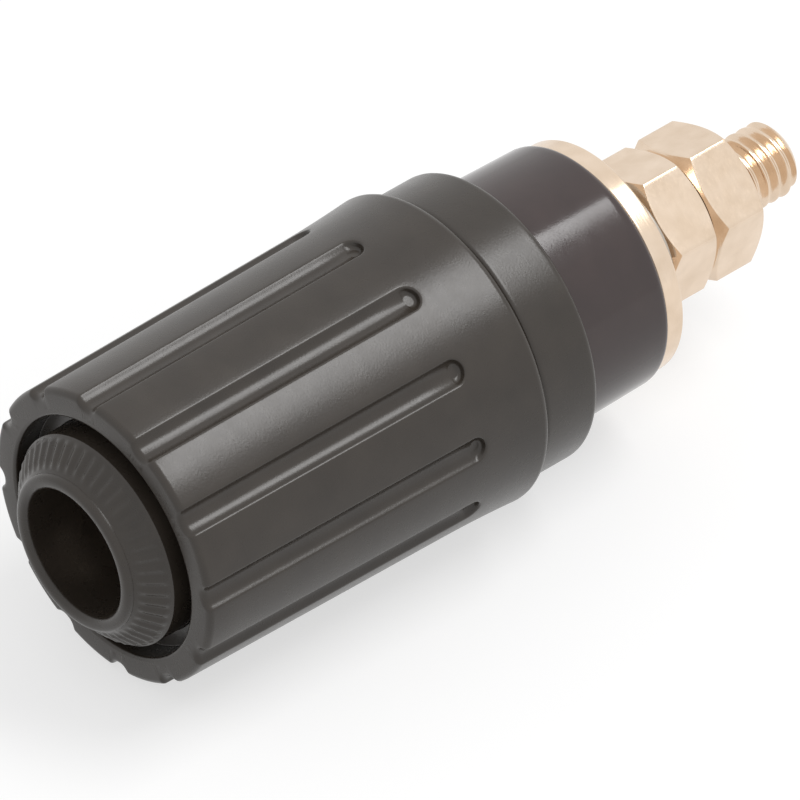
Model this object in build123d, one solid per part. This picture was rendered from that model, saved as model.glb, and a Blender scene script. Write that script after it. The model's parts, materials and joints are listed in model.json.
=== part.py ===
from build123d import *

import os
from math import atan2, degrees, tan, radians

# Insulated binding post for a 4 mm plug and a bare wire, on an M4 stud. Lengths are in mm.
# Every piece is drawn about the Z axis: the panel seat is at Z = 0, the knob lies below it and
# the stud above. The last step lays that axis along +Y, so the knob faces -Y and +Z is up.

# Insulators, one on each side of the panel
collar_d = 15.84
collar_thickness = 3.5
collar_edge = 0.3
bush_front_d = 13.54
bush_draft = 0.12
bush_length = 5.9
bush_edge = 0.35
spigot_d = 8.0
spigot_flat_depth = 0.5
spigot_length = 3.0
spigot_clearance = 0.1

# Post: a brass turning with the plug socket, the wire hole, the flange and the stud
socket_d = 4.0
socket_wall = 1.0
socket_web = 0.4
socket_lead_in = 0.35
socket_point_deg = 118
post_chamfer = 0.4
post_nose = 0.95
flange_d = 10.0
flange_flat_depth = 0.75
flange_thickness = 2.5
flange_proud = 1.0
wire_hole_d = 2.2
wire_hole_step = 0.3
stud_d = 4.0
stud_chamfer = 0.4
stud_past_nut = 3.9

# Knob: the grip that the fingers turn, its threaded insert and the bush round its mouth
knob_length = 21.75
knob_draft = 0.24
knob_flare = 0.24
knob_flare_length = 5.1
knob_front_edge = 0.35
knob_rear_edge = 0.35
knob_collar_gap = 0.15
knob_travel = 5.0
flute_count = 12
flute_width = 1.5
flute_depth = 0.4
flute_wall = 1.09
flute_length = 17.8
flute_turn_deg = -8.2
insert_flats = 9.0
insert_nose_d = 8.4
insert_nose_length = 1.25
insert_chamfer = 0.3
mouth_proud = 2.0
mouth_d = 7.0
mouth_lip_width = 0.8
mouth_lip_height = 0.4
mouth_lip_edge = 0.3
mouth_ring_front = 0.3
mouth_wall = 1.85
mouth_groove = 0.8
mouth_groove_depth = 1.4
mouth_groove_chamfer = 0.25
mouth_step_gap = 0.6
plug_recess = 4.8

# Pressure washer between the insert and the flange
clamp_washer_thickness = 0.8

# Retaining ring that stops the knob at the end of its travel
ring_proud = 0.55
ring_groove_depth = 0.4
ring_thickness = 0.7
ring_stop_gap = 0.2
ring_opening_deg = 50

# Fasteners behind the panel
washer_d = 12.8
washer_thickness = 1.1
lock_washer_width = 1.5
lock_washer_thickness = 0.9
lock_washer_turn_deg = 345
nut_flats = 7.0
nut_height = 3.1
nut_face_step = 0.2
nut_face_angle_deg = 30
nut_gap = 0.05
nut_turn_deg = -17.7

# Clearances and the overrun of the cuts
thread_clearance = 0.05
washer_clearance = 0.15
lock_washer_clearance = 0.3
flange_clearance = 0.4
clamp_washer_clearance = 0.7
ring_clearance = 0.35
closed_gap = 0.05
overrun = 1.0

# Sizes across the axis, worked out from the sizes above
bush_rear_d = bush_front_d - 2 * bush_draft
spigot_flats = spigot_d - 2 * spigot_flat_depth
flange_flats = flange_d - 2 * flange_flat_depth
post_d = socket_d + 2 * socket_wall
ring_d = post_d + 2 * ring_proud
ring_groove_d = post_d - 2 * ring_groove_depth
mouth_lip_d = mouth_d + 2 * mouth_lip_width
mouth_cavity_d = ring_d + 2 * ring_clearance
mouth_ring_d = mouth_cavity_d + 2 * mouth_wall
mouth_groove_d = mouth_ring_d + 2 * mouth_groove
knob_front_d = mouth_groove_d + 2 * (flute_wall + flute_depth)
knob_grip_d = knob_front_d + 2 * knob_draft
knob_rear_d = knob_grip_d + 2 * knob_flare
knob_recess_d = flange_d + 2 * flange_clearance
clamp_washer_d = knob_recess_d - 2 * clamp_washer_clearance
lock_washer_d = stud_d + 2 * (lock_washer_clearance + lock_washer_width)
nut_face_d = nut_flats - 2 * nut_face_step

# Places along the axis, worked out from the sizes above
collar_front = -collar_thickness
flange_front = collar_front - flange_proud
flange_rear = flange_front + flange_thickness
clamp_rear = flange_front - closed_gap
clamp_front = clamp_rear - clamp_washer_thickness
nose_rear = clamp_front - closed_gap
insert_rear = nose_rear - insert_nose_length
knob_rear = collar_front - knob_collar_gap
knob_front = knob_rear - knob_length
flare_start = knob_rear - knob_flare_length
mouth_plane = knob_front - mouth_proud
groove_floor = knob_front + mouth_groove_depth
post_front = mouth_plane + plug_recess
mouth_step = post_front - mouth_step_gap
ring_front = post_front + post_nose
ring_rear = ring_front + ring_thickness
insert_front = ring_rear + ring_stop_gap + knob_travel
wire_hole_at = flange_front - wire_hole_step - wire_hole_d / 2
socket_point = socket_d / 2 / tan(radians(socket_point_deg / 2))
socket_end = wire_hole_at - wire_hole_d / 2 - socket_web - socket_point
washer_rear = bush_length + washer_thickness
lock_washer_climb = lock_washer_thickness * lock_washer_turn_deg / 360
mounting_nut_at = washer_rear + lock_washer_thickness + lock_washer_climb
terminal_nut_at = mounting_nut_at + nut_height + nut_gap
stud_end = terminal_nut_at + nut_height + stud_past_nut


def turned(*outline):
    """A full turn of a closed outline of (radius, height) corners about the Z axis."""
    section = make_face(Plane.XZ * Polyline(*outline, close=True))
    return revolve(section, Axis.Z)


def tube(outer_d, inner_d, low, high):
    """A straight tube between two heights."""
    return turned((inner_d / 2, low), (outer_d / 2, low), (outer_d / 2, high), (inner_d / 2, high))


def rod(diameter, low, high):
    """A straight round bar between two heights."""
    return turned((0, low), (diameter / 2, low), (diameter / 2, high), (0, high))


def flatted_rod(diameter, flats, low, high):
    """A round bar between two heights, with two flats across X."""
    slab = Box(flats, diameter + overrun, high - low, align=(Align.CENTER, Align.CENTER, Align.MIN))
    return rod(diameter, low, high) & Pos(0, 0, low) * slab


def hexagon_bar(flats, low, high, turn_deg=0):
    """A hexagonal bar between two heights, with corners at turn_deg from X."""
    section = RegularPolygon(flats / 2, 6, major_radius=False)
    return Pos(0, 0, low) * Rot(0, 0, turn_deg) * extrude(section, high - low)


def outer_rims(piece, diameter):
    """The circular edges of a turned piece that have this diameter."""
    close = overrun / 1000
    return [
        edge
        for edge in piece.edges().filter_by(GeomType.CIRCLE)
        if abs(edge.radius - diameter / 2) < close
    ]


def front_collar():
    """The insulator on the panel's front, with a flatted spigot through the panel hole."""
    body = chamfer(outer_rims(rod(collar_d, collar_front, 0), collar_d), collar_edge)
    spigot = flatted_rod(spigot_d, spigot_flats, 0, spigot_length)
    # the flange seat starts in the air, so that it cuts right through the front face
    seat = flatted_rod(flange_d, flange_flats, collar_front - overrun, flange_rear)
    bore = rod(stud_d, flange_rear - overrun, spigot_length + overrun)
    return body + spigot - seat - bore


def rear_bush():
    """The insulator behind the panel, with a slight draft and a socket for the spigot."""
    body = turned(
        (0, 0),
        (bush_front_d / 2, 0),
        (bush_rear_d / 2, bush_length),
        (0, bush_length),
    )
    body = chamfer(outer_rims(body, bush_rear_d), bush_edge)
    grown = 2 * spigot_clearance
    socket = flatted_rod(
        spigot_d + grown, spigot_flats + grown, -overrun, spigot_length + spigot_clearance
    )
    bore = rod(stud_d + 2 * thread_clearance, -overrun, bush_length + overrun)
    return body - socket - bore


def post():
    """The brass post: socket end with a groove for the ring, wire hole, keyed flange and stud."""
    post_r, socket_r, stud_r = post_d / 2, socket_d / 2, stud_d / 2
    groove_r = ring_groove_d / 2
    body = turned(
        (0, socket_end + socket_point),
        (socket_r, socket_end),
        (socket_r, post_front + socket_lead_in),
        (socket_r + socket_lead_in, post_front),
        (post_r - post_chamfer, post_front),
        (post_r, post_front + post_chamfer),
        (post_r, ring_front),
        (groove_r, ring_front),
        (groove_r, ring_rear),
        (post_r, ring_rear),
        (post_r, flange_rear),
        (stud_r, flange_rear),
        (stud_r, stud_end - stud_chamfer),
        (stud_r - stud_chamfer, stud_end),
        (0, stud_end),
    )
    flange = flatted_rod(flange_d, flange_flats, flange_front, flange_rear)
    wire_hole = Pos(0, 0, wire_hole_at) * Rot(0, 90, 0) * Cylinder(wire_hole_d / 2, post_d + overrun)
    return body + flange - wire_hole


def flute_cutter():
    """A shallow channel with a round floor that runs out at the front and ends in a round wall."""
    half = flute_width / 2
    draft_deg = degrees(atan2((knob_grip_d - knob_front_d) / 2, knob_length - knob_flare_length))
    reach = flute_depth + overrun
    end = Plane(
        origin=(knob_grip_d / 2, 0, knob_front + flute_length), x_dir=(0, 1, 0), z_dir=(0, 0, -1)
    )
    floor = ThreePointArc((-half, 0), (0, -flute_depth), (half, 0))
    section = make_face(
        [floor, Polyline((half, 0), (half, overrun), (-half, overrun), (-half, 0))]
    )
    channel = extrude(section, flute_length + overrun)
    # seen from outside, the channel is a slot with one round end
    round_end = Pos(0, 0, half) * Rot(-90, 0, 0) * Cylinder(half, 2 * reach)
    straight = Pos(0, 0, half) * Box(
        flute_width,
        2 * reach,
        flute_length + overrun,
        align=(Align.CENTER, Align.CENTER, Align.MIN),
    )
    return end * Rot(draft_deg, 0, 0) * (channel & (round_end + straight))


def knob_shell():
    """The fluted grip. It widens towards the panel and carries the insert and the mouth bush."""
    with BuildPart() as shell:
        with BuildSketch(Plane.XZ):
            with BuildLine():
                taper = Line((knob_front_d / 2, knob_front), (knob_grip_d / 2, flare_start))
                flare = TangentArc(taper @ 1, (knob_rear_d / 2, knob_rear), tangent=taper % 1)
                Polyline(
                    flare @ 1,
                    (knob_recess_d / 2, knob_rear),
                    (knob_recess_d / 2, nose_rear),
                    (insert_nose_d / 2, nose_rear),
                    (insert_nose_d / 2, insert_front),
                    (mouth_ring_d / 2, insert_front),
                    (mouth_ring_d / 2, groove_floor),
                    (mouth_groove_d / 2, groove_floor),
                    (mouth_groove_d / 2, knob_front + mouth_groove_chamfer),
                    (mouth_groove_d / 2 + mouth_groove_chamfer, knob_front),
                    taper @ 0,
                )
            make_face()
        revolve(axis=Axis.Z)
    body = shell.part
    body = chamfer(outer_rims(body, knob_front_d), knob_front_edge)
    body = chamfer(outer_rims(body, knob_rear_d), knob_rear_edge)
    body -= hexagon_bar(insert_flats, insert_front - overrun, insert_rear)
    turns = PolarLocations(0, flute_count, start_angle=flute_turn_deg)
    return body - [turn * flute_cutter() for turn in turns]


def knob_insert():
    """The hexagonal brass insert that runs on the post, with a nose that presses the washer."""
    body = hexagon_bar(insert_flats, insert_front, insert_rear)
    body += rod(insert_nose_d, insert_rear, nose_rear)
    bore_r = post_d / 2 + thread_clearance
    bore = turned(
        (0, insert_front - overrun),
        (bore_r + insert_chamfer + overrun, insert_front - overrun),
        (bore_r, insert_front + insert_chamfer),
        (bore_r, nose_rear - insert_chamfer),
        (bore_r + insert_chamfer + overrun, nose_rear + overrun),
        (0, nose_rear + overrun),
    )
    return body - bore


def mouth_bush():
    """The bush pressed into the knob's front, with a raised lip and a slope round the mouth."""
    lip_r, bore_r = mouth_lip_d / 2, mouth_d / 2
    ring_r, cavity_r = mouth_ring_d / 2, mouth_cavity_d / 2
    lip_foot = mouth_plane + mouth_lip_height
    return turned(
        (bore_r, lip_foot),
        (bore_r + mouth_lip_edge, mouth_plane),
        (lip_r - mouth_lip_edge, mouth_plane),
        (lip_r, lip_foot),
        (ring_r, knob_front - mouth_ring_front),
        (ring_r, insert_front),
        (cavity_r, insert_front),
        (cavity_r, mouth_step),
        (bore_r, mouth_step),
    )


def pressure_washer():
    """The loose washer that presses the wire against the flange without turning it."""
    return tube(clamp_washer_d, post_d + 2 * washer_clearance, clamp_front, clamp_rear)


def retaining_ring():
    """The open spring ring in the groove of the post, which keeps the knob on."""
    closed = tube(ring_d, ring_groove_d, ring_front, ring_rear)
    opening = Pos(0, 0, ring_front - overrun) * extrude(
        make_face(
            Polyline(
                (0, 0),
                (ring_d, ring_d * tan(radians(ring_opening_deg / 2))),
                (ring_d, -ring_d * tan(radians(ring_opening_deg / 2))),
                close=True,
            )
        ),
        ring_thickness + 2 * overrun,
    )
    return closed - opening


def flat_washer():
    """The wide washer on the rear insulator."""
    return tube(washer_d, stud_d + 2 * washer_clearance, bush_length, washer_rear)


def lock_washer():
    """The split spring washer: one turn of a square section that climbs by its own thickness."""
    mid_r = (lock_washer_d - lock_washer_width) / 2
    start = washer_rear + lock_washer_thickness / 2
    path = Pos(0, 0, start) * Helix(lock_washer_thickness, lock_washer_climb, mid_r)
    section = Plane(path @ 0, x_dir=(1, 0, 0), z_dir=path % 0) * Rectangle(
        lock_washer_width, lock_washer_thickness
    )
    return sweep(section, path, is_frenet=True)


def nut(low):
    """A hexagonal nut with a turned chamfer on both faces, which starts at the given height."""
    high = low + nut_height
    face_r = nut_face_d / 2
    reach = nut_flats
    drop = (reach - face_r) * tan(radians(nut_face_angle_deg))
    envelope = turned(
        (0, low), (face_r, low), (reach, low + drop), (reach, high - drop), (face_r, high), (0, high)
    )
    bore = rod(stud_d + 2 * thread_clearance, low - overrun, high + overrun)
    return (hexagon_bar(nut_flats, low, high, nut_turn_deg) & envelope) - bore


pieces = {
    "post": post(),
    "retaining_ring": retaining_ring(),
    "front_collar": front_collar(),
    "rear_bush": rear_bush(),
    "flat_washer": flat_washer(),
    "lock_washer": lock_washer(),
    "mounting_nut": nut(mounting_nut_at),
    "terminal_nut": nut(terminal_nut_at),
    "pressure_washer": pressure_washer(),
    "knob_shell": knob_shell(),
    "knob_insert": knob_insert(),
    "mouth_bush": mouth_bush(),
}

os.makedirs("parts", exist_ok=True)
for name, piece in pieces.items():
    export_step(Rot(-90, 0, 0) * piece, f"parts/{name}.step")
    print(name, round(piece.volume, 2))
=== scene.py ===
# %% [markdown]
# A binding post is a screw terminal for a panel. The black knob in front takes a plug in its mouth
# and clamps a bare wire when it is screwed down. Two insulators sit on either side of the panel,
# and a threaded stud with nuts carries the wiring behind it.
#
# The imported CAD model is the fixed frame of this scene. Every dressed piece below is a surface
# worked out with numpy around the same axis, and it stands exactly where its CAD node stands.

import json
from math import pi, radians, tan

import bmesh
import bpy
import numpy as np
from mathutils import Matrix, Vector


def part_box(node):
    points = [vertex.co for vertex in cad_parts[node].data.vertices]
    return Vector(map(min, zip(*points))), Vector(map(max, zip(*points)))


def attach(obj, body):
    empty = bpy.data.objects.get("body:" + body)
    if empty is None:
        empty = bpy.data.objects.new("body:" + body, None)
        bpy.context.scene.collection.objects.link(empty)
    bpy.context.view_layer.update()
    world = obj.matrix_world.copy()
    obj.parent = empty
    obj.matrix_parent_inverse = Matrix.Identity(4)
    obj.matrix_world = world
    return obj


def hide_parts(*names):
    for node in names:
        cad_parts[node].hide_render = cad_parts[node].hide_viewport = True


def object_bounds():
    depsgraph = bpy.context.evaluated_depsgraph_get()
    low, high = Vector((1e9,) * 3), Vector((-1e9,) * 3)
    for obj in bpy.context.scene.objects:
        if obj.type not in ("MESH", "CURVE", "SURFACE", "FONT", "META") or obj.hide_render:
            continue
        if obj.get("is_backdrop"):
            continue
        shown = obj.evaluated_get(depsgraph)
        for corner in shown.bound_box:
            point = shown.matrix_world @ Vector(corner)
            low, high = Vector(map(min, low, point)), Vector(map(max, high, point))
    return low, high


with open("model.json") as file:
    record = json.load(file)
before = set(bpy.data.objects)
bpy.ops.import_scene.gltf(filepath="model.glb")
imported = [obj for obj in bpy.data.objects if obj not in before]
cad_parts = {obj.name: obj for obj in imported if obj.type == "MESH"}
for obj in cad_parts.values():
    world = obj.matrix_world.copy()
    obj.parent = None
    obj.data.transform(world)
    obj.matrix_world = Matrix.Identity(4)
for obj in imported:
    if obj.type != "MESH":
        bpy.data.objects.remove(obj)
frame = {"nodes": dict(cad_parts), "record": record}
scene = bpy.context.scene
cad_low, cad_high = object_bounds()
print("nodes:", sorted(frame["nodes"]))

# %% [markdown]
# The post lies along Y, with the panel's seat at zero, the knob towards minus Y and the stud
# towards plus Y. A length along Y is called a station. The stations and the widths of the pieces
# come from the frame, so that a dressed piece can't drift from its node. They are kept in
# millimetres, because that is how such a part is drawn.

# %% Stations and radii from the frame
MM = 0.001


def span(node):
    """The lowest and highest station of a CAD node, and half its width, in millimetres."""
    low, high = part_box(node)
    return low.y / MM, high.y / MM, max(high.x - low.x, high.z - low.z) / 2 / MM


knob_front, knob_rear, _ = span("knob_shell")
mouth_plane, insert_front, ring_r = span("mouth_bush")
collar_front, spigot_end, collar_r = span("front_collar")
_, bush_rear, _ = span("rear_bush")
_, washer_rear, washer_r = span("flat_washer")
_, lock_rear, lock_r = span("lock_washer")
post_front, stud_end, flange_r = span("post")
_, nose_rear, _ = span("knob_insert")
clamp_front, clamp_rear, clamp_r = span("pressure_washer")
clip_front, clip_rear, clip_r = span("retaining_ring")
mounts = {mount["name"]: mount for mount in frame["record"]["mounts"]}
print("knob from", round(knob_front, 3), "to", round(knob_rear, 3))
print("post from", round(post_front, 3), "to", round(stud_end, 3))
print("mounts:", list(mounts))

# %% [markdown]
# The camera looks down on the knob's mouth from the front right. The post's axis is straight, so
# its slope in the picture and the ovals of its round faces give both angles of the view. A long
# lens from almost a metre away keeps the far end of the post as large as it is in the picture.

# %% Camera at the photograph's angle
azimuth, elevation = radians(48.8), radians(40.6)
picture_px = 800
px_per_mm = 20.2
seat_px = (492.3, 315.9)
camera_distance = 0.9
nearest_seen, farthest_seen = 0.01, 10
sensor_mm = 36.0

to_camera = Vector((
    np.sin(azimuth) * np.cos(elevation),
    -np.cos(azimuth) * np.cos(elevation),
    np.sin(elevation),
))
right = Vector((np.cos(azimuth), np.sin(azimuth), 0))
up = to_camera.cross(right)
middle_px = picture_px / 2
aim = -(right * (seat_px[0] - middle_px) + up * (middle_px - seat_px[1])) * MM / px_per_mm

camera_data = bpy.data.cameras.new("camera")
camera_data.sensor_width = sensor_mm
camera_data.lens = sensor_mm * camera_distance / (picture_px / px_per_mm * MM)
camera_data.clip_start = nearest_seen
camera_data.clip_end = farthest_seen
camera = bpy.data.objects.new("camera", camera_data)
camera.matrix_world = Matrix.Translation(aim + to_camera * camera_distance) @ Matrix(
    (right, up, to_camera)
).transposed().to_4x4()
scene.collection.objects.link(camera)
scene.camera = camera
scene.view_settings.view_transform = "Standard"
print("lens", round(camera_data.lens), "mm")

# %% [markdown]
# A black moulding shows its form only through what it reflects, so the light matters more than
# the colour. One soft lamp hangs high over the stud's end. It is twice as long as it is wide and
# lies across the post, turned a little, so that its edge cuts the gleam off sooner on the rear
# insulator than on the knob. A plain white surround fills the rest: full white where it is seen
# directly or in a mirror, and dimmer as soft light. The lamp and the surround together light an
# upward face with a strength of about one.

# %% Soft lamp and white surround
lamp_direction = Vector((0.27, 0.39, 0.88)).normalized()
lamp_distance = 0.394
lamp_turn = radians(72)
lamp_width, lamp_length = 0.116, 0.235
lamp_radiance = 7.5
surround_seen, surround_fill = 1.0, 0.6

lamp_data = bpy.data.lights.new("soft_lamp", "AREA")
lamp_data.shape = "RECTANGLE"
lamp_data.size = lamp_width
lamp_data.size_y = lamp_length
lamp_data.energy = lamp_radiance * pi * lamp_width * lamp_length
lamp = bpy.data.objects.new("soft_lamp", lamp_data)
lamp_across = Vector((np.cos(lamp_turn), np.sin(lamp_turn), 0))
lamp_across = (lamp_across - lamp_across.project(lamp_direction)).normalized()
lamp.matrix_world = Matrix.Translation(lamp_direction * lamp_distance) @ Matrix(
    (lamp_across, lamp_direction.cross(lamp_across), lamp_direction)
).transposed().to_4x4()
scene.collection.objects.link(lamp)


def seen_directly(nodes, links):
    """One for rays from the camera, a mirror or a clear body, and nought for soft light."""
    path = nodes.new("ShaderNodeLightPath")
    most = path.outputs["Is Camera Ray"]
    for ray in ("Is Glossy Ray", "Is Transmission Ray"):
        larger = nodes.new("ShaderNodeMath")
        larger.operation = "MAXIMUM"
        links.new(most, larger.inputs[0])
        links.new(path.outputs[ray], larger.inputs[1])
        most = larger.outputs[0]
    return most


world = bpy.data.worlds.new("surround")
world.use_nodes = True
scene.world = world
world_nodes, world_links = world.node_tree.nodes, world.node_tree.links
surround = world_nodes["Background"]
surround.inputs["Color"].default_value = (1, 1, 1, 1)
strength = world_nodes.new("ShaderNodeMapRange")
strength.inputs["To Min"].default_value = surround_fill
strength.inputs["To Max"].default_value = surround_seen
world_links.new(seen_directly(world_nodes, world_links), strength.inputs["Value"])
world_links.new(strength.outputs["Result"], surround.inputs["Strength"])
print("lamp gives", round(lamp_data.energy, 3), "W")

# %% [markdown]
# The floor is a plain pale sheet just under the knob. Its own soft grey keeps the shadow of the
# post, and a little light of its own, seen only by the camera and by mirrors, brings it to white.

# %% Pale floor
floor_gap = 0.02
floor_half = 2.0
floor_grey = 0.45
floor_glow = 0.62

floor_z = cad_low[2] - floor_gap * MM
floor_mesh = bpy.data.meshes.new("floor")
floor_mesh.from_pydata(
    [(x * floor_half, y * floor_half, floor_z) for x, y in ((-1, -1), (1, -1), (1, 1), (-1, 1))],
    [],
    [(0, 1, 2, 3)],
)
floor = bpy.data.objects.new("floor", floor_mesh)
scene.collection.objects.link(floor)
floor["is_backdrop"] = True

floor_paint = bpy.data.materials.new("pale_floor")
floor_paint.use_nodes = True
floor_nodes, floor_links = floor_paint.node_tree.nodes, floor_paint.node_tree.links
floor_shader = floor_nodes["Principled BSDF"]
floor_shader.inputs["Base Color"].default_value = (floor_grey, floor_grey, floor_grey, 1)
floor_shader.inputs["Roughness"].default_value = 1.0
floor_shader.inputs["Specular IOR Level"].default_value = 0.0
floor_shader.inputs["Emission Color"].default_value = (1, 1, 1, 1)
glow = floor_nodes.new("ShaderNodeMath")
glow.operation = "MULTIPLY"
glow.inputs[1].default_value = floor_glow
floor_links.new(seen_directly(floor_nodes, floor_links), glow.inputs[0])
floor_links.new(glow.outputs[0], floor_shader.inputs["Emission Strength"])
floor_mesh.materials.append(floor_paint)
print("floor at", round(floor_z / MM, 2), "mm")

# %% [markdown]
# The finishes come next. A moulding is never one flat colour: the plastic flows into the tool
# with a faint cloudiness, shrinks a little unevenly as it cools, and takes a fine grain from the
# tool's own surface. A turned metal part carries marks that run round its axis. All of it is
# noise in the piece's own coordinates, so it stays on the piece when that moves, and the scale
# is in millimetres.

# %% Helpers for the finishes
NOISE_LOW, NOISE_HIGH = 0.25, 0.75


class Finish:
    """A material with a Principled shader, and short names for what the finishes share."""

    def __init__(self, name, ior=1.5, metallic=0.0):
        self.material = bpy.data.materials.new(name)
        self.material.use_nodes = True
        self.nodes = self.material.node_tree.nodes
        self.links = self.material.node_tree.links
        self.shader = self.nodes["Principled BSDF"]
        self.shader.inputs["IOR"].default_value = ior
        self.shader.inputs["Metallic"].default_value = metallic
        place = self.nodes.new("ShaderNodeTexCoord")
        mapping = self.nodes.new("ShaderNodeMapping")
        mapping.inputs["Scale"].default_value = (1 / MM, 1 / MM, 1 / MM)
        self.links.new(place.outputs["Object"], mapping.inputs["Vector"])
        self.millimetres = mapping.outputs["Vector"]

    def math(self, operation, first, second=0.0):
        """The result of one sum on values or sockets."""
        node = self.nodes.new("ShaderNodeMath")
        node.operation = operation
        for socket, value in zip(node.inputs, (first, second)):
            if isinstance(value, (int, float)):
                socket.default_value = value
            else:
                self.links.new(value, socket)
        return node.outputs[0]

    def round_the_axis(self, fine, drift):
        """A place made of distance from the axis and station, both times fine, and a slow
        drift across: noise read there runs in rings, as the marks of a lathe do."""
        split = self.nodes.new("ShaderNodeSeparateXYZ")
        self.links.new(self.millimetres, split.inputs[0])
        x, y, z = split.outputs
        squares = self.math("ADD", self.math("MULTIPLY", x, x), self.math("MULTIPLY", z, z))
        joined = self.nodes.new("ShaderNodeCombineXYZ")
        self.links.new(self.math("MULTIPLY", self.math("SQRT", squares), fine), joined.inputs[0])
        self.links.new(self.math("MULTIPLY", y, fine), joined.inputs[1])
        self.links.new(self.math("MULTIPLY", x, drift), joined.inputs[2])
        return joined.outputs[0]

    def noise(self, scale=1.0, detail=2.0, place=None):
        """Cloud noise from nought to one, with this many clouds in a unit of the place, which
        is a millimetre where no other place is given."""
        node = self.nodes.new("ShaderNodeTexNoise")
        node.inputs["Scale"].default_value = scale
        node.inputs["Detail"].default_value = detail
        self.links.new(place or self.millimetres, node.inputs["Vector"])
        return node.outputs["Fac"]

    def between(self, value, low, high):
        """The middle half of a noise spread over a range."""
        node = self.nodes.new("ShaderNodeMapRange")
        node.inputs["From Min"].default_value = NOISE_LOW
        node.inputs["From Max"].default_value = NOISE_HIGH
        node.inputs["To Min"].default_value = low
        node.inputs["To Max"].default_value = high
        self.links.new(value, node.inputs["Value"])
        return node.outputs["Result"]

    def colour(self, value, dark, light):
        """A colour that goes from dark to light with a noise."""
        node = self.nodes.new("ShaderNodeMix")
        node.data_type = "RGBA"
        node.inputs["A"].default_value = (*dark, 1)
        node.inputs["B"].default_value = (*light, 1)
        self.links.new(self.between(value, 0.0, 1.0), node.inputs["Factor"])
        self.links.new(node.outputs["Result"], self.shader.inputs["Base Color"])

    def roughness(self, value, low, high):
        """Roughness that goes from low to high with a noise."""
        self.links.new(self.between(value, low, high), self.shader.inputs["Roughness"])

    def bumps(self, *layers):
        """Bumps laid over one another: (noise, height in millimetres)."""
        below = None
        for value, height in layers:
            node = self.nodes.new("ShaderNodeBump")
            node.inputs["Distance"].default_value = height * MM
            self.links.new(value, node.inputs["Height"])
            if below:
                self.links.new(below, node.inputs["Normal"])
            below = node.outputs["Normal"]
        self.links.new(below, self.shader.inputs["Normal"])


print("noise from", NOISE_LOW, "to", NOISE_HIGH, "is spread over a finish's whole range")

# %% Black plastics
CLOUD_SCALE, GLOSS_SCALE, GRAIN_SCALE = 0.5, 1.6, 9.0
SINK_SCALE, SINK_HEIGHT = 0.35, 0.006


def black_plastic(name, dark, light, smooth, dull, grain_height):
    """A moulded thermoplastic: cloudy colour, slightly uneven gloss, faint sink marks where the
    wall shrank as it cooled, and a fine tool grain."""
    finish = Finish(name)
    clouds = finish.noise(CLOUD_SCALE, detail=3)
    grain = finish.noise(GRAIN_SCALE, detail=3)
    finish.colour(clouds, dark, light)
    finish.roughness(finish.noise(GLOSS_SCALE, detail=4), smooth, dull)
    finish.bumps((finish.noise(SINK_SCALE, detail=1), SINK_HEIGHT), (grain, grain_height))
    return finish.material


grip_plastic = black_plastic(
    "dressed_grip_plastic",
    dark=(0.034, 0.027, 0.021),
    light=(0.046, 0.037, 0.029),
    smooth=0.26,
    dull=0.30,
    grain_height=0.005,
)
insulator_plastic = black_plastic(
    "dressed_insulator_plastic",
    dark=(0.048, 0.033, 0.032),
    light=(0.060, 0.041, 0.039),
    smooth=0.11,
    dull=0.15,
    grain_height=0.002,
)
print("plastics:", grip_plastic.name, insulator_plastic.name)

# %% Metals
RING_FINENESS, RING_DRIFT = 14.0, 0.4
TONE_SCALE = 0.7
WAVE_SCALE, WAVE_HEIGHT = 0.8, 0.004


def turned_metal(name, dark, light, smooth, dull, mark_height):
    """A turned metal: fine rings round the axis, a soft change of tone over the piece, and long
    low waves in its surface."""
    finish = Finish(name, metallic=1.0)
    rings = finish.noise(place=finish.round_the_axis(RING_FINENESS, RING_DRIFT))
    finish.colour(finish.noise(TONE_SCALE), dark, light)
    finish.roughness(rings, smooth, dull)
    finish.bumps((finish.noise(WAVE_SCALE, detail=1), WAVE_HEIGHT), (rings, mark_height))
    return finish.material


plated_brass = turned_metal(
    "dressed_plated_brass",
    dark=(0.71, 0.56, 0.42),
    light=(0.82, 0.67, 0.53),
    smooth=0.13,
    dull=0.24,
    mark_height=0.003,
)
plain_brass = turned_metal(
    "dressed_plain_brass",
    dark=(0.70, 0.48, 0.20),
    light=(0.78, 0.56, 0.27),
    smooth=0.2,
    dull=0.34,
    mark_height=0.003,
)
spring_steel = turned_metal(
    "dressed_spring_steel",
    dark=(0.42, 0.38, 0.33),
    light=(0.52, 0.47, 0.41),
    smooth=0.3,
    dull=0.42,
    mark_height=0.002,
)
FINISHES = {
    "grip_plastic": grip_plastic,
    "insulator_plastic": insulator_plastic,
    "plated_brass": plated_brass,
    "plain_brass": plain_brass,
    "spring_steel": spring_steel,
}
print("finishes:", list(FINISHES))

# %% [markdown]
# Nearly every piece here was turned or moulded round one axis. Such a piece is an outline of
# radius against station, swept round a full turn. The corners of a real outline are never
# perfectly sharp: a small round at each one catches the light as a fine bright line, which is
# what makes a render of hard plastic or metal look solid. So the outline helper rounds every
# corner by its own radius, and puts extra points close to each round to keep the faces flat.
#
# A corner's radius may differ from one turning angle to the next. That is how a flat, a hexagon
# or a slot is made on the same outline.

# %% Outline with rounded corners
ARC_STEPS = 5
RUN_SHARES = np.array([0.04, 0.35, 0.65, 0.96])
TINY = 1e-4


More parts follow.
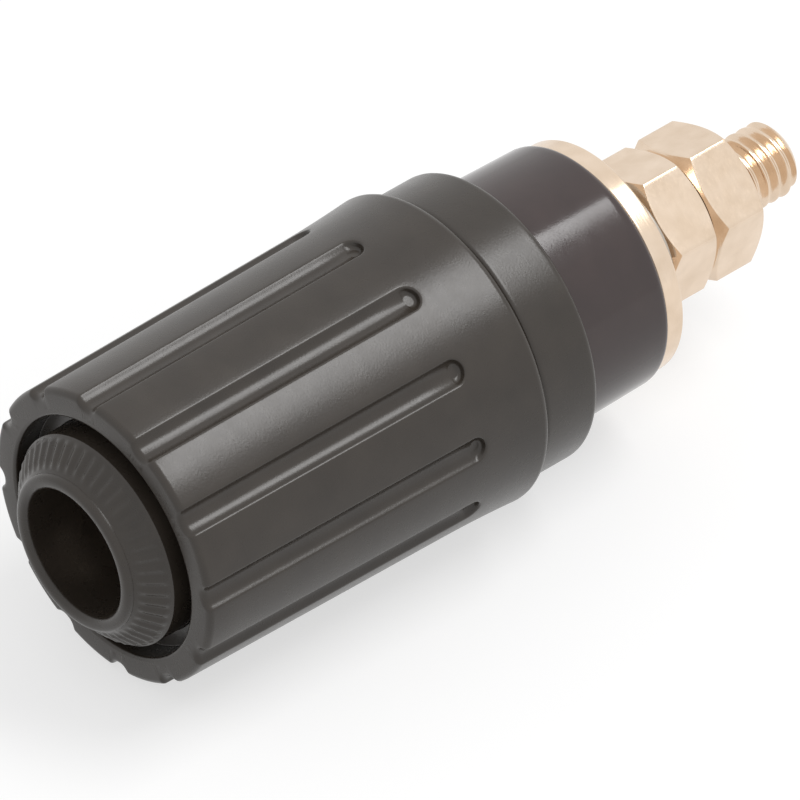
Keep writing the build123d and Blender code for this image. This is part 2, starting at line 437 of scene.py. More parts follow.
def rounded_outline(corners, closed=True):
    """Points of (radius, station) along outlines whose corners are (radius, station, round).

    At a corner with unit directions back and on, a round of radius p touches both runs at a
    distance p / tan(half the angle between them), and its centre lies on their bisector at
    p / sin(half the angle). The points of the round are the centre plus p times the directions
    between the two touching points. The runs between rounds are split at fixed shares of their
    length. A closed outline ends on its first point, and an open one keeps its ends sharp.
    Leading axes of corners are outlines side by side."""
    here, rounds = corners[..., :2], corners[..., 2]
    back = np.roll(here, 1, -2) - here
    on = np.roll(here, -1, -2) - here
    back /= np.maximum(np.linalg.norm(back, axis=-1), TINY)[..., None]
    on /= np.maximum(np.linalg.norm(on, axis=-1), TINY)[..., None]
    half = np.arccos(np.clip((back * on).sum(-1), -1, 1)) / 2
    half = np.where(rounds > 0, half, pi / 4)
    bisector = back + on
    bisector /= np.maximum(np.linalg.norm(bisector, axis=-1), TINY)[..., None]
    centre = here + bisector * (rounds / np.sin(half))[..., None]
    reach = (rounds / np.tan(half))[..., None]
    first, last = here + back * reach - centre, here + on * reach - centre
    sweep = (pi - 2 * half)[..., None]
    share = np.linspace(0, 1, ARC_STEPS + 1)
    from_first = np.sin((1 - share) * sweep) / np.sin(sweep)
    from_last = np.sin(share * sweep) / np.sin(sweep)
    arcs = centre[..., None, :] + from_first[..., None] * first[..., None, :]
    arcs += from_last[..., None] * last[..., None, :]
    start, end = arcs[..., -1, :], np.roll(arcs[..., 0, :], -1, -2)
    runs = start[..., None, :] + RUN_SHARES[:, None] * (end - start)[..., None, :]
    points = np.concatenate([arcs, runs], axis=-2)
    points = points.reshape(points.shape[:-3] + (-1, 2))
    if closed:
        return np.concatenate([points, points[..., :1, :]], axis=-2)
    return points[..., : -len(RUN_SHARES), :]


print("a corner takes", ARC_STEPS + 1, "points, and a run between corners", len(RUN_SHARES))

# %% [markdown]
# A sheet of quads needs only the number of its rows and columns: the corner at row i and column
# j joins its neighbours at i + 1 and j + 1. Where a sheet comes back on itself, meets another
# sheet or shrinks to a point on the axis, the doubled points are merged. The mesh is then
# closed like the solid that it stands for, and its faces can be turned to point outwards.

# %% From grids of points to a piece
SHARP_ANGLE = radians(38)
ROUND_COLUMNS = 192


def wheel(radius, station, turn):
    """Points at a radius and a turn round the Y axis: x = r cos, z = r sin, y = station."""
    radius, station, turn = np.broadcast_arrays(radius, station, turn)
    return np.stack([radius * np.cos(turn), station, radius * np.sin(turn)], axis=-1)


def grid_quads(copies, rows, columns):
    """Quads over equal grids: corner (i, j) with (i + 1, j), (i + 1, j + 1) and (i, j + 1)."""
    corner = np.arange(copies * rows * columns).reshape(copies, rows, columns)
    around = (corner[:, :-1, :-1], corner[:, 1:, :-1], corner[:, 1:, 1:], corner[:, :-1, 1:])
    return np.stack(around, axis=-1).reshape(-1, 4)


def mesh_of(name, grids):
    """A closed mesh from grids of points in millimetres, (copies, rows, columns, 3) or less.
    Doubled points are merged, and the faces are turned outwards."""
    points, quads, offset = [], [], 0
    for grid in grids:
        grid = grid.reshape((-1,) + grid.shape[-3:])
        points.append(grid.reshape(-1, 3))
        quads.append(grid_quads(*grid.shape[:3]) + offset)
        offset += len(points[-1])
    points, quads = np.concatenate(points), np.concatenate(quads)
    mesh = bpy.data.meshes.new(name)
    mesh.vertices.add(len(points))
    mesh.vertices.foreach_set("co", (points * MM).astype(np.float32).ravel())
    mesh.loops.add(quads.size)
    mesh.loops.foreach_set("vertex_index", quads.astype(np.int32).ravel())
    mesh.polygons.add(len(quads))
    mesh.polygons.foreach_set("loop_start", np.arange(0, quads.size, 4, dtype=np.int32))
    mesh.update(calc_edges=True)
    work = bmesh.new()
    work.from_mesh(mesh)
    bmesh.ops.remove_doubles(work, verts=work.verts, dist=TINY * MM)
    bmesh.ops.recalc_face_normals(work, faces=work.faces)
    open_edges = sum(not edge.is_manifold for edge in work.edges)
    volume = work.calc_volume(signed=True) / MM**3
    work.to_mesh(mesh)
    work.free()
    print(f"{name}: {len(mesh.polygons)} faces, {open_edges} open edges, {volume:.1f} cubic mm")
    return mesh


def piece(mesh, body, slot, *nodes):
    """A finished piece: smooth faces with sharp corners, its finish, and the body it rides on."""
    mesh.shade_smooth()
    mesh.set_sharp_from_angle(angle=SHARP_ANGLE)
    mesh.materials.clear()
    mesh.materials.append(FINISHES[slot])
    made = bpy.data.objects.new(mesh.name, mesh)
    scene.collection.objects.link(made)
    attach(made, body)
    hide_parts(*nodes)
    return made


def full_turn(columns):
    """Angles of a full turn. The last one closes on the first and is merged with it."""
    return np.linspace(0, 2 * pi, columns + 1)


def outline_grid(corners, turn, closed=True):
    """Radius and station, (rows, columns), of an outline whose corners may vary with the turn."""
    table = [np.stack(np.broadcast_arrays(*corner, turn)[:3], axis=-1) for corner in corners]
    outline = rounded_outline(np.stack(table, axis=-2).astype(float), closed)
    return outline[..., 0].T, outline[..., 1].T


def turned(name, corners, turn=None):
    """The mesh of a turned piece: its closed outline swept round the axis."""
    turn = full_turn(ROUND_COLUMNS) if turn is None else turn
    return mesh_of(name, [wheel(*outline_grid(corners, turn), turn)])


def flats_across_x(radius, half_width, turn):
    """Radius of a round bar with two flats: the smaller of radius and half width / |cos|."""
    return np.minimum(radius, half_width / np.maximum(np.abs(np.cos(turn)), TINY))


print("a turned piece has", ROUND_COLUMNS, "columns")

# %% [markdown]
# The grip is the piece that everyone sees. It is a black moulding with twelve flutes, each a
# shallow channel with a round floor that runs out at the front and ends in a steep round wall.
# A grid of plain rows and columns would cut across that round end and leave steps. So each
# twelfth of the grip is a sheet of its own that follows the flute: one parameter walks up one
# side of the channel, round its end and down the other side, and the other one goes out from
# the floor over the wall and the lip to the middle of the land.

# %% Sizes of the grip
flute_count = 12
flute_turn = radians(8.2)
flute_depth = 0.4
flute_length = 17.8
flute_half = 0.75
flute_reach = 0.82
knob_front_r = 8.04
knob_grip_r = 8.28
knob_rear_r = 8.52
flare_length = 5.1
rim_round = 0.35
rear_round = 0.35
groove_width = 0.8
groove_depth = 1.4
groove_round = 0.2
insert_flat = 4.5
insert_nose_r = 4.2
insert_nose_length = 1.25
recess_clearance = 0.4
inner_round = 0.05
flare_start = knob_rear - flare_length
flute_centre = knob_front + flute_length - flute_half
groove_r = ring_r + groove_width
pocket_rear = nose_rear - insert_nose_length
recess_r = flange_r + recess_clearance


def grip_radius(station):
    """Outer radius of the grip: a straight taper, then a flare that leaves it without a kink.
    Past its start the flare adds what is left to the full width, times the square of the
    share of its length."""
    slope = (knob_grip_r - knob_front_r) / (flare_start - knob_front)
    share = np.clip((station - flare_start) / flare_length, 0, 1)
    left_over = knob_rear_r - knob_grip_r - slope * flare_length
    return knob_front_r + slope * (station - knob_front) + left_over * share**2


print("flutes", 2 * flute_half, "mm wide,", flute_depth, "mm deep")

# %% Sections of a flute, from the middle of its floor to its edge on the land
FLOOR_STEPS, LIP_STEPS, LAND_STEPS = 8, 4, 6


def flute_section(wall_angle, floor_round, lip_round):
    """Distance out and depth along half a channel: a flat floor, a hollow arc, a straight wall
    and a rounded lip. With w the wall's angle, both arcs together rise by the sum of their
    radii times (1 - cos w). The straight wall makes up the rest of the depth, and the flat
    floor the rest of the width."""
    arcs = floor_round + lip_round
    wall = (flute_depth - arcs * (1 - np.cos(wall_angle))) / np.sin(wall_angle)
    flat = flute_reach - arcs * np.sin(wall_angle) - wall * np.cos(wall_angle)
    floor = np.linspace(0, wall_angle, FLOOR_STEPS + 1)
    lip = np.linspace(wall_angle, 0, LIP_STEPS + 1)
    out = np.concatenate([
        [0], flat + floor_round * np.sin(floor), flute_reach - lip_round * np.sin(lip)
    ])
    deep = np.concatenate([
        [flute_depth],
        flute_depth - floor_round * (1 - np.cos(floor)),
        lip_round * (1 - np.cos(lip)),
    ])
    return out, deep


side_wall, side_floor_round, side_lip_round = radians(50), 0.75, 0.18
end_wall, end_floor_round, end_lip_round = radians(80), 0.16, 0.12
side_out, side_deep = flute_section(side_wall, side_floor_round, side_lip_round)
end_out, end_deep = flute_section(end_wall, end_floor_round, end_lip_round)
half_sector = pi / flute_count
sector_half_width = half_sector * knob_grip_r
land_share = np.linspace(0, 1, LAND_STEPS + 1)[1:]
sector_columns = 2 * (len(side_out) + LAND_STEPS - 1)
print(len(side_out), "points from the floor to the lip")

# %% One twelfth of the grip
SIDE_ROWS, CORNER_STEPS = 10, 8
top_station = flute_centre + sector_half_width
side_stations = np.linspace(knob_front + rim_round, flute_centre, SIDE_ROWS + 1)
corner_rise = np.linspace(0, sector_half_width, CORNER_STEPS + 1)[1:-1]
top_across = np.linspace(-sector_half_width, sector_half_width, sector_columns + 1)


def flute_sheet():
    """Distance across, station and depth over one twelfth of the grip.

    Rows walk up the left side, round the end and down the right side. Columns go out from the
    floor. Each row has a foot on the middle line of the flute and a direction. Beside the flute
    the direction is straight across. Round its end all feet are at the end's centre, and the
    directions point at the border of a square as wide as the sector. A point lies at the foot
    plus direction times its distance out, and the land is shared out evenly up to the border.
    The section goes over from that of the side to that of the end as the row turns round."""
    beside = np.full(SIDE_ROWS + 1, sector_half_width)
    corner = np.full(CORNER_STEPS - 1, sector_half_width)
    across = np.concatenate([-beside, -corner, top_across, corner, beside])
    top = np.full(len(top_across), sector_half_width)
    rise = np.concatenate([0 * beside, corner_rise, top, corner_rise[::-1], 0 * beside])
    centre = np.full(len(top) + 2 * len(corner), flute_centre)
    foot = np.concatenate([side_stations, centre, side_stations[::-1]])
    length = np.hypot(across, rise)[:, None]
    ending = rise[:, None] / length
    carved = side_out + ending * (end_out - side_out)
    deep = side_deep + ending * (end_deep - side_deep)
    out = np.concatenate([carved, flute_reach + land_share * (length - flute_reach)], axis=1)
    deep = np.concatenate([deep, np.zeros((len(foot), LAND_STEPS))], axis=1)
    return across[:, None] / length * out, foot[:, None] + ending * out, deep


sheet_across, sheet_station, sheet_deep = flute_sheet()
print("one twelfth is", sheet_across.shape, "points")

# %% [markdown]
# The front edge of the grip follows the lobes between the flutes, and it is rounded off. From
# there plain rings carry the front face, the groove round the mouth, the seats inside, the rear
# recess and the flare.

# %% Rings of one twelfth, from its front edge through the inside to the flare
RIM_STEPS, FLARE_ROWS, BLEND_RINGS = 6, 8, 12
REAR_RUN_ROUNDS, GROOVE_LEAD_ROUNDS = 3, 2


def whole(half, sign=1):
    """A half section, from the floor out, becomes the whole one from left to right."""
    return np.concatenate([sign * half[..., :0:-1], half], axis=-1)


def grip_rings():
    """Angle, radius and station of the rings of one twelfth.

    The first rings round the front edge off. Over a quarter turn of the rim's angle the section
    moves inwards by the round times (1 - its cosine), and the station runs forward by the round
    times its sine. The other rings are circles, and their angles go over from those of the
    section to an even spread."""
    rim_angle = np.linspace(0, pi / 2, RIM_STEPS + 1)[:, None]
    out = np.append(side_out, flute_reach + land_share * (sector_half_width - flute_reach))
    deep = np.append(side_deep, np.zeros(LAND_STEPS))
    station = knob_front + rim_round * (1 - np.sin(rim_angle)) + 0 * out
    radius = grip_radius(station) - deep - rim_round * (1 - np.cos(rim_angle))
    before_rear = knob_rear - REAR_RUN_ROUNDS * rear_round
    circles = rounded_outline(np.array([
        (groove_r + GROOVE_LEAD_ROUNDS * groove_round, knob_front, 0),
        (groove_r, knob_front, groove_round),
        (groove_r, knob_front + groove_depth, inner_round),
        (ring_r, knob_front + groove_depth, inner_round),
        (ring_r, insert_front, inner_round),
        (insert_flat, insert_front, inner_round),
        (insert_flat, pocket_rear, inner_round),
        (insert_nose_r, pocket_rear, inner_round),
        (insert_nose_r, nose_rear, inner_round),
        (recess_r, nose_rear, inner_round),
        (recess_r, knob_rear, inner_round),
        (grip_radius(knob_rear), knob_rear, rear_round),
        (grip_radius(before_rear), before_rear, 0),
    ]), closed=False)
    flare = np.linspace(before_rear, top_station, FLARE_ROWS + 1)[1:]
    circles = np.concatenate([circles, np.stack([grip_radius(flare), flare], axis=-1)])
    even = np.linspace(-half_sector, half_sector, sector_columns + 1)
    share = np.clip((np.arange(len(circles)) + 1) / BLEND_RINGS, 0, 1)[:, None]
    uneven = whole(out, -1) / knob_grip_r
    angles = np.concatenate([uneven + 0 * whole(radius), uneven * (1 - share) + even * share])
    radii = np.concatenate([whole(radius), circles[:, :1] + 0 * even])
    stations = np.concatenate([whole(station), circles[:, 1:] + 0 * even])
    return angles, radii, stations


def hexagon_pocket(radius, station, turn):
    """The radius with the rings of the pocket spread out to a hexagon with a corner on X.

    A flat at distance f lies at f / cos(angle from its middle). Between the bore and f, and
    between f and the ring round the mouth, the radius is stretched evenly to fit."""
    hexagon_r = insert_flat / np.cos(turn % (pi / 3) - pi / 6)
    below = (radius - insert_nose_r) * (hexagon_r - insert_nose_r) / (insert_flat - insert_nose_r)
    above = (ring_r - radius) * (ring_r - hexagon_r) / (ring_r - insert_flat)
    spread = np.where(radius < insert_flat, insert_nose_r + below, ring_r - above)
    edge = inner_round / 2
    inside = (station > insert_front - edge) & (station < pocket_rear + edge) & (radius < ring_r)
    return np.where(inside & (radius > insert_nose_r), spread, radius)


ring_angle, ring_radius, ring_station = grip_rings()
flute_turns = (flute_turn + 2 * pi / flute_count * np.arange(flute_count))[:, None, None]
ring_radius = hexagon_pocket(ring_radius, ring_station, flute_turns + ring_angle)
grip_mesh = mesh_of("knob_grip", [
    wheel(
        grip_radius(sheet_station) - sheet_deep,
        sheet_station,
        flute_turns + sheet_across / knob_grip_r,
    ),
    wheel(ring_radius, ring_station, flute_turns + ring_angle),
])
piece(grip_mesh, "knob", "grip_plastic", "knob_shell")

# %% [markdown]
# The mouth ring is pressed into the front of the grip. A rounded lip stands round the mouth, and
# a sloping ring falls away from it to the dark groove. The slope carries a band of low radial
# ribs, which is a plain generic finish for such a face. The ribs are a wave along the turn times
# a window along the radius, and they lift the slope forward.

# %% Mouth ring with its lip and ribs
mouth_r = 3.5
lip_width = 0.8
lip_height = 0.4
lip_round = 0.36
slope_drop = 0.3
slope_round = 0.06
rib_count = 48
rib_height = 0.16
rib_steps = 8
rib_margin = 0.1
rib_inner_end, rib_outer_end = 0.45, 0.15
rib_height_shares = (0, 1, 1, 0)
cavity_r = 3.9
mouth_step_gap = 0.6

lip_r = mouth_r + lip_width
slope_top, slope_foot = mouth_plane + lip_height, knob_front - slope_drop
mouth_step = post_front - mouth_step_gap


def slope_station(radius):
    """Station on the sloping ring: a straight fall from the lip's foot to the ring's edge."""
    return slope_top + (slope_foot - slope_top) * (radius - lip_r) / (ring_r - lip_r)


rib_inner, rib_outer = lip_r + rib_margin, ring_r - rib_margin
slope_marks = (rib_inner, rib_inner + rib_inner_end, rib_outer - rib_outer_end, rib_outer)
mouth_corners = [
    (mouth_r, mouth_step, inner_round),
    (mouth_r, mouth_plane, lip_round),
    (lip_r, mouth_plane, lip_round),
    (lip_r, slope_top, inner_round),
    *[(mark, slope_station(mark), 0) for mark in slope_marks],
    (ring_r, slope_foot, slope_round),
    (ring_r, insert_front, inner_round),
    (cavity_r, insert_front, inner_round),
    (cavity_r, mouth_step, inner_round),
]
mouth_turn = full_turn(rib_count * rib_steps)
mouth_lift = (1 - np.cos(rib_count * mouth_turn)) / 2
mouth_radius, mouth_station = outline_grid(mouth_corners, mouth_turn)
on_slope = (mouth_station < slope_foot) & (mouth_radius > lip_r)
window = np.interp(mouth_radius, slope_marks, rib_height_shares) * on_slope
mouth_station = mouth_station - rib_height * window * mouth_lift
mouth_mesh = mesh_of("mouth_ring", [wheel(mouth_radius, mouth_station, mouth_turn)])
piece(mouth_mesh, "knob", "grip_plastic", "mouth_bush")

# %% [markdown]
# The insulators are plain turnings. The front one carries a spigot with two flats that keeps the
# post from turning in its panel, and a seat with two flats for the flange. The rear one has a
# socket for the spigot. Only their rims show, so what matters there is the size of the rounds.

# %% Insulators
collar_round = 0.3
spigot_r, spigot_flat = 4.0, 3.5
spigot_round = 0.1
seat_flat = 4.25
flange_rear = -2.0
bush_front_r = 6.77
bush_rear_r = 6.65
bush_front_round, bush_rear_round = 0.15, 0.35
spigot_clearance = 0.1
stud_r = 2.0
stud_clearance = 0.05

round_turn = full_turn(ROUND_COLUMNS)
seat_r = flats_across_x(flange_r, seat_flat, round_turn)
spigot = flats_across_x(spigot_r, spigot_flat, round_turn)
socket = flats_across_x(spigot_r + spigot_clearance, spigot_flat + spigot_clearance, round_turn)
collar_mesh = turned("front_insulator", [
    (collar_r, collar_front, collar_round),
    (collar_r, 0, collar_round),
    (spigot, 0, inner_round),
    (spigot, spigot_end, spigot_round),
    (stud_r, spigot_end, inner_round),
    (stud_r, flange_rear, inner_round),
    (seat_r, flange_rear, inner_round),
    (seat_r, collar_front, inner_round),
], round_turn)
piece(collar_mesh, "base", "grip_plastic", "front_collar")
bush_mesh = turned("rear_insulator", [
    (bush_front_r, 0, bush_front_round),
    (bush_rear_r, bush_rear, bush_rear_round),
    (stud_r + stud_clearance, bush_rear, inner_round),
    (stud_r + stud_clearance, spigot_end + spigot_clearance, inner_round),
    (socket, spigot_end + spigot_clearance, inner_round),
    (socket, 0, inner_round),
], round_turn)
piece(bush_mesh, "base", "insulator_plastic", "rear_bush")

# %% [markdown]
# Behind the panel lie a wide flat washer of pale plated brass and a split spring washer. The
# split one is a flat wire bent to one turn that climbs by its own thickness, so it springs
# back against the nut. It is a section carried along a helix, with an end face on either side
# of the split. The clip in the knob will be made in the same way.

# %% Washers
washer_round = 0.12
washer_bore_r = 2.15
washer_mesh = turned("wide_washer", [
    (washer_r, bush_rear, washer_round),
    (washer_r, washer_rear, washer_round),
    (washer_bore_r, washer_rear, inner_round),
    (washer_bore_r, bush_rear, inner_round),
])
piece(washer_mesh, "base", "plated_brass", "flat_washer")


def ring_sweep(name, inner_r, outer_r, low, high, turns, climb, edge_round):
    """An open ring: a rounded rectangle carried along a helix, closed by its two end faces.
    The station of the section rises by climb from the first turn to the last."""
    corners = [(inner_r, low), (outer_r, low), (outer_r, high), (inner_r, high)]
    section = rounded_outline(np.array([(*corner, edge_round) for corner in corners]))
    share = (turns - turns[0]) / (turns[-1] - turns[0])
    radius = section[:, :1] + 0 * turns
    station = section[:, 1:] + climb * share
    grid = wheel(radius, station, turns)
    centre = grid[:-1].mean(axis=0, keepdims=True) + 0 * grid
    caps = [np.stack([grid[:, end], centre[:, end]]) for end in (0, -1)]
    return mesh_of(name, [grid, *caps])


lock_thickness = 0.9
lock_width = 1.5
lock_round = 0.12
lock_sweep = radians(345)
LOCK_COLUMNS = 160
lock_climb = lock_rear - washer_rear - lock_thickness
lock_mesh = ring_sweep(
    "split_washer",
    lock_r - lock_width,
    lock_r,
    washer_rear,
    washer_rear + lock_thickness,
    -np.linspace(0, lock_sweep, LOCK_COLUMNS + 1),
    lock_climb,
    lock_round,
)
piece(lock_mesh, "base", "spring_steel", "lock_washer")

# %% [markdown]
# A thread is not a stack of rings but one ridge that climbs. So the rows of a threaded stretch
# slope: each row keeps its place in the thread's section, and its station falls by one pitch in
# a full turn. Rows that would leave the stretch stop at its end, and their doubled points are
# merged away.
#
# A nut of the CAD model is a plain ring that slides off its bar in a pose. So the thread in a
# hole is cut outwards from the bore, and its crests clear the bar wherever the nut is.

# %% Threads
THREAD_ROW_SHARES = np.array([0, 0.05, 0.09, 0.19, 0.3, 0.4, 0.44, 0.56, 0.6, 0.7, 0.81, 0.91, 0.95])
# Shares of a pitch from the middle of the crest: where its flat and its round end, and where
# the round and the flat of the root start. The last four are the shares of the depth there.
CREST_END_SHARES, ROOT_START_SHARES = (0.045, 0.085), (0.40, 0.44)
SECTION_FALL_SHARES = (0, 0.06, 0.96, 1)


def thread_rows(low, high, crest_r, root_r, pitch, turn):
    """Radius and station over a right-hand thread between two stations.

    With the phase counted in pitches along the ridge, station = low + pitch * (phase - turn /
    full turn), kept between low and high. The radius is the crest's for a phase near a whole
    number, the root's near a half, and straight between, with a little round at both ends of
    the straight. It comes in from the plain bar or bore over the first pitch."""
    pitches = int(np.ceil((high - low) / pitch)) + 1
    phase = (np.arange(pitches)[:, None] + THREAD_ROW_SHARES).ravel()
    phase = np.append(phase, pitches)[:, None]
    lead = turn / (2 * pi)
    station = np.clip(low + pitch * (phase - lead), low, high)
    from_crest = np.abs(((station - low) / pitch + lead + 0.5) % 1 - 0.5)
    fall = np.interp(from_crest, CREST_END_SHARES + ROOT_START_SHARES, SECTION_FALL_SHARES)
    run_in = np.clip((station - low) / pitch, 0, 1)
    return crest_r - (crest_r - root_r) * fall * run_in, station


print("a pitch of thread has", len(THREAD_ROW_SHARES), "rows")

# %% A piece with a threaded hole
HOLE_THREAD_DEPTH = 0.28


def threaded_hole(name, corners, bore_r, pitch, turn):
    """The mesh of a piece with a threaded hole: the outline of its outside, and thread rows back
    through the hole. The outline starts and ends at the hole's two mouths. The hole is as wide
    as its thread or as the cone of a mouth, (radius of the mouth - distance from its face),
    whichever is wider. The crests of the thread stand at the bore, so that they clear the bar."""
    mouth_radius, low, _ = corners[0]
    high = corners[-1][1]
    root_r = bore_r + HOLE_THREAD_DEPTH
    radius, station = thread_rows(low, high, bore_r, root_r, pitch, turn - turn[0])
    radius = np.maximum(radius, mouth_radius - np.minimum(station - low, high - station))
    outside = outline_grid(corners, turn, closed=False)
    return mesh_of(name, [wheel(
        np.concatenate([outside[0], radius[::-1]]),
        np.concatenate([outside[1], station[::-1]]),
        turn,
    )])


print("threads in holes are", HOLE_THREAD_DEPTH, "mm deep")

# %% [markdown]
# A nut is a hexagonal bar whose ends were turned to a 30 degree cone. The cone cuts each flat in
# a curved line, highest in the middle of the flat. Here each column of the nut has an outline of
# its own, so that this line follows from the formula.

# %% Hexagon nuts
nut_flat = 3.5
nut_edge_round = 0.12
nut_cone_round = 0.06
nut_face_r = 3.3
nut_cone = radians(30)
nut_bore_r = stud_r + stud_clearance
nut_bore_chamfer = 0.3
nut_turn = radians(17.7)
stud_pitch = 0.7
FLAT_STEPS = 16


def hexagon(flat, edge_round):
    """Turning angles and radii of a hexagon with rounded edges.

    A flat at distance f lies at f / cos(angle from its middle). Near an edge the outline is a
    circle of radius p whose centre is c = (f - p) / cos 30 from the axis: at an angle d from
    the edge its radius is c cos d + the root of (p squared - (c sin d) squared). The angles
    crowd towards the edges."""
    from_middle = pi / 6 * np.sin(pi / 2 * np.linspace(-1, 1, FLAT_STEPS + 1))[:-1]
    turn = (np.arange(6)[:, None] * pi / 3 + pi / 6 + from_middle).ravel()
    straight = flat / np.cos(from_middle)
    from_edge = pi / 6 - np.abs(from_middle)
    centre_r = (flat - edge_round) / np.cos(pi / 6)
    inner = np.maximum(edge_round**2 - (centre_r * np.sin(from_edge)) ** 2, 0)
    rounded = centre_r * np.cos(from_edge) + np.sqrt(inner)
    touch = np.arctan2(edge_round / 2, centre_r + edge_round * np.cos(pi / 6))
    radius = np.tile(np.where(from_edge < touch, rounded, straight), 6)
    return np.append(turn, turn[0] + 2 * pi), np.append(radius, radius[0])


hex_turn, hex_r = hexagon(nut_flat, nut_edge_round)


def nut_mesh(name, low, high):
    """A nut between two stations, coned at both ends down to its face radius and threaded."""
    drop = (hex_r - nut_face_r) * tan(nut_cone)
    mouth = nut_bore_r + nut_bore_chamfer
    return threaded_hole(name, [
        (mouth, low, 0),
        (nut_face_r, low, nut_cone_round),
        (hex_r, low + drop, nut_cone_round),
        (hex_r, high - drop, nut_cone_round),
        (nut_face_r, high, nut_cone_round),
        (mouth, high, 0),
    ], nut_bore_r, stud_pitch, hex_turn + nut_turn)


for node, body, name in (
    ("mounting_nut", "base", "first_nut"),
    ("terminal_nut", "rear_nut", "second_nut"),
):
    low, high, _ = span(node)
    piece(nut_mesh(name, low, high), body, "plated_brass", node)

# %% [markdown]
# The post is one brass turning: the plug's socket in front, a clip groove, the thread that the
# knob runs on, the hole for the wire, the flange and the stud. Its threads are rows of the same
# kind as those in the nuts, laid on the outside of the bar.

# %% The post's outline
POST_COLUMNS, TIP_RINGS = 120, 5
socket_r = 2.0
socket_wall = 1.0
socket_lead_in = 0.35
socket_depth = mounts["plug_socket"]["dims"]["length_mm"] + socket_lead_in
drill_half_angle = radians(59)
post_edge = 0.4
metal_round = 0.1
clip_groove_depth = 0.4
post_pitch, post_root_r = 1.0, 2.42
stud_root_r = 1.571
tip_edge = 0.4
tip_round = 0.08
tip_rim = 0.15
thread_gap = 0.4
thread_end = -8.0
flange_proud = 1.0
stud_thread_start = 0.6

post_r = socket_r + socket_wall
socket_point = socket_r / tan(drill_half_angle)
thread_start = clip_rear + thread_gap
flange_front = collar_front - flange_proud
post_turn = full_turn(POST_COLUMNS)
flange = flats_across_x(flange_r, seat_flat, post_turn)
before_thread = outline_grid([
    (0, post_front + socket_depth + socket_point, 0),
    (socket_r, post_front + socket_depth, inner_round),
    (socket_r, post_front + socket_lead_in, inner_round),
    (socket_r + socket_lead_in, post_front, inner_round),
    (post_r - post_edge, post_front, metal_round),
    (post_r, post_front + post_edge, metal_round),
    (post_r, clip_front, inner_round),
    (post_r - clip_groove_depth, clip_front, inner_round),
    (post_r - clip_groove_depth, clip_rear, inner_round),
    (post_r, clip_rear, inner_round),
    (post_r, thread_start, 0),
], post_turn, closed=False)
front_thread = thread_rows(thread_start, thread_end, post_r, post_root_r, post_pitch, post_turn)
middle = outline_grid([
    (post_r, thread_end, 0),
    (post_r, flange_front, inner_round),
    (flange, flange_front, metal_round),
    (flange, flange_rear, metal_round),
    (stud_r, flange_rear, inner_round),
    (stud_r, stud_thread_start, 0),
], post_turn, closed=False)
stud_radius, stud_station = thread_rows(
    stud_thread_start, stud_end, stud_r, stud_root_r, stud_pitch, post_turn
)
from_tip = stud_end - stud_station
tip_limit = stud_r - tip_edge + from_tip - tip_round * np.exp(-from_tip / tip_round)
stud_radius = np.minimum(stud_radius, tip_limit)
tip_r = np.linspace(stud_r - tip_edge - tip_rim, 0, TIP_RINGS)[:, None] + 0 * post_turn
post_radius = np.concatenate([before_thread[0], front_thread[0], middle[0], stud_radius, tip_r])
post_station = np.concatenate([
    before_thread[1], front_thread[1], middle[1], stud_station, stud_end + 0 * tip_r,
])
post_mesh = mesh_of("brass_post", [wheel(post_radius, post_station, post_turn)])

# %% [markdown]
# The wire hole crosses the post. Where a round hole meets a round bar its edge is a saddle, and
# the quickest exact way to cut it is a Boolean modifier with a cylinder, applied to the mesh.

# %% Wire hole
DRILL_COLUMNS = 64
drill_overrun = 1.0
wire_r = mounts["wire_hole"]["dims"]["r_mm"]
wire_station = mounts["wire_hole"]["pos_m"][1] / MM
drill_turn = full_turn(DRILL_COLUMNS)
drill_r = np.array([0, wire_r, wire_r, 0])[:, None]
drill_x = np.array([-1, -1, 1, 1])[:, None] * (post_r + drill_overrun) + 0 * drill_turn
drill_points = np.stack([
    drill_x,
    wire_station + drill_r * np.cos(drill_turn),
    drill_r * np.sin(drill_turn),
], axis=-1)
drill = bpy.data.objects.new("drill", mesh_of("drill", [drill_points]))
bar = bpy.data.objects.new("bar", post_mesh)
for helper in (drill, bar):
    scene.collection.objects.link(helper)
cut = bar.modifiers.new("wire_hole", "BOOLEAN")
cut.operation = "DIFFERENCE"
cut.solver = "EXACT"
cut.object = drill
depsgraph = bpy.context.evaluated_depsgraph_get()
drilled = bpy.data.meshes.new_from_object(bar.evaluated_get(depsgraph))
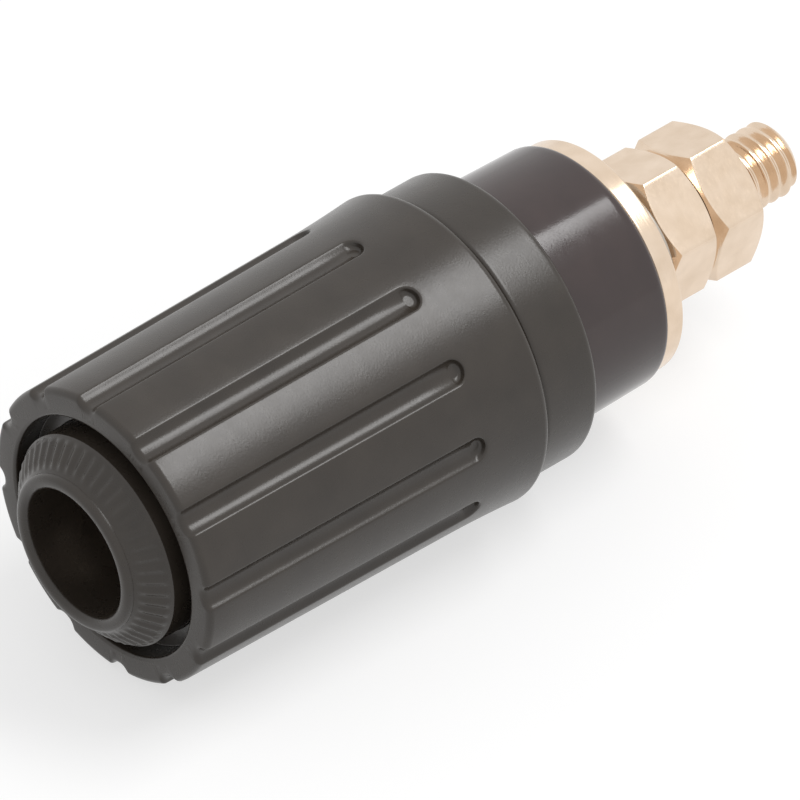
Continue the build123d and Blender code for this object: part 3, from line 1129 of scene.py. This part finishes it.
bpy.data.objects.remove(bar)
bpy.data.objects.remove(drill)
bpy.data.meshes.remove(post_mesh)
drilled.name = "brass_post"
piece(drilled, "base", "plated_brass", "post")
print("drilled post:", len(drilled.polygons), "faces")

# %% [markdown]
# Three more pieces work inside the knob: the threaded insert that runs on the post, the loose
# washer that presses the wire, and the spring clip that keeps the knob on. They hardly show
# until the knob is screwed open. They are made with the same helpers as the pieces outside.

# %% Pieces inside the knob
clamp_bore_r = 3.15
clamp_round = 0.12
insert_bore_r = 3.05
insert_chamfer = 0.3
clip_opening = radians(50)
clip_round = 0.08
CLIP_COLUMNS = 120

clamp_mesh = turned("clamp_washer", [
    (clamp_r, clamp_front, clamp_round),
    (clamp_r, clamp_rear, clamp_round),
    (clamp_bore_r, clamp_rear, inner_round),
    (clamp_bore_r, clamp_front, inner_round),
])
piece(clamp_mesh, "clamp", "plated_brass", "pressure_washer")

insert_turn, insert_hex_r = hexagon(insert_flat, metal_round)
insert_mesh = threaded_hole("threaded_insert", [
    (insert_bore_r + insert_chamfer, insert_front, 0),
    (insert_hex_r, insert_front, metal_round),
    (insert_hex_r, pocket_rear, metal_round),
    (insert_nose_r, pocket_rear, inner_round),
    (insert_nose_r, nose_rear, metal_round),
    (insert_bore_r + insert_chamfer, nose_rear, 0),
], insert_bore_r, post_pitch, insert_turn)
piece(insert_mesh, "knob", "plain_brass", "knob_insert")

clip_mesh = ring_sweep(
    "spring_clip",
    post_r - clip_groove_depth,
    clip_r,
    clip_front,
    clip_rear,
    np.linspace(clip_opening / 2, 2 * pi - clip_opening / 2, CLIP_COLUMNS + 1),
    0,
    clip_round,
)
piece(clip_mesh, "base", "spring_steel", "retaining_ring")

# %% [markdown]
# The last cell prints the size of the dressed model, in millimetres. The dressed pieces
# must stay inside the box that the CAD model gives.

# %% Size of the dressed model
dressed_low, dressed_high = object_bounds()
dressed_size = [round((high - low) / MM, 2) for low, high in zip(dressed_low, dressed_high)]
print("dressed model:", dressed_size, "mm")
